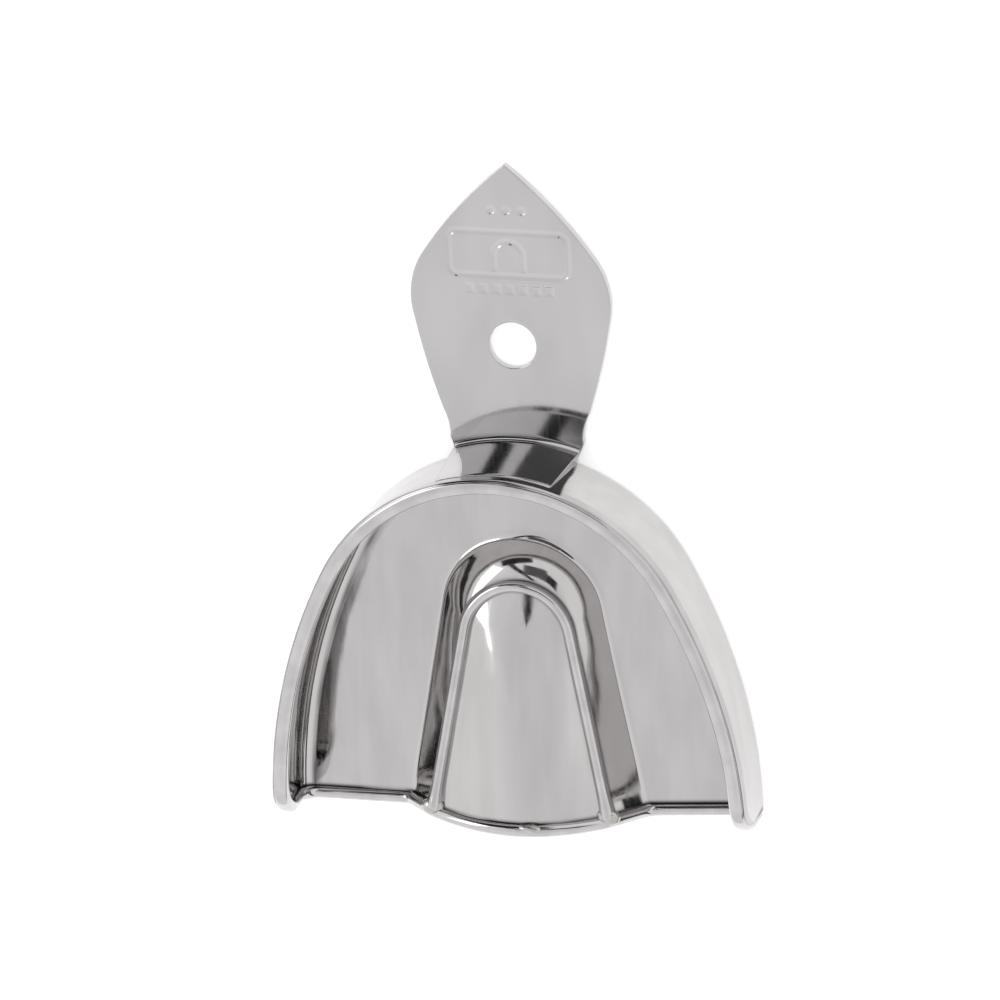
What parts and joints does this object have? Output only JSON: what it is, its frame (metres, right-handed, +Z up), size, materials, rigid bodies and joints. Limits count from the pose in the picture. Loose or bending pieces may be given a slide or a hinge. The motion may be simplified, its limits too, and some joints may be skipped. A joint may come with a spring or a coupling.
{
  "type": "dental impression tray",
  "caption": "Upper-jaw metal impression tray: solid U-shaped trough with a beaded rim, raised palate with a wire, and a flat spade-shaped handle with a hanging hole.",
  "frame": {"origin": "middle of the footprint, on the underside of the trough floor", "axes": "+Z up out of the open trough, +Y towards the handle's tip, +X to the right when looking along +Y"},
  "size_m": [0.068, 0.0962, 0.0162],
  "materials": {
    "pressed_steel": "mirror-polished pressed stainless steel sheet",
    "handle_steel": "polished stainless steel strip",
    "wire_steel": "polished stainless steel wire",
    "silver_braze": "hand-finished silver brazing alloy"
  },
  "bodies": {
    "root": {"tray_shell": "pressed_steel", "handle": "handle_steel", "border_wire": "wire_steel", "palatal_wire": "wire_steel", "handle_braze": "silver_braze", "border_joint_solder": "silver_braze", "palatal_solder_left": "silver_braze", "palatal_solder_right": "silver_braze"}
  },
  "joints": []
}
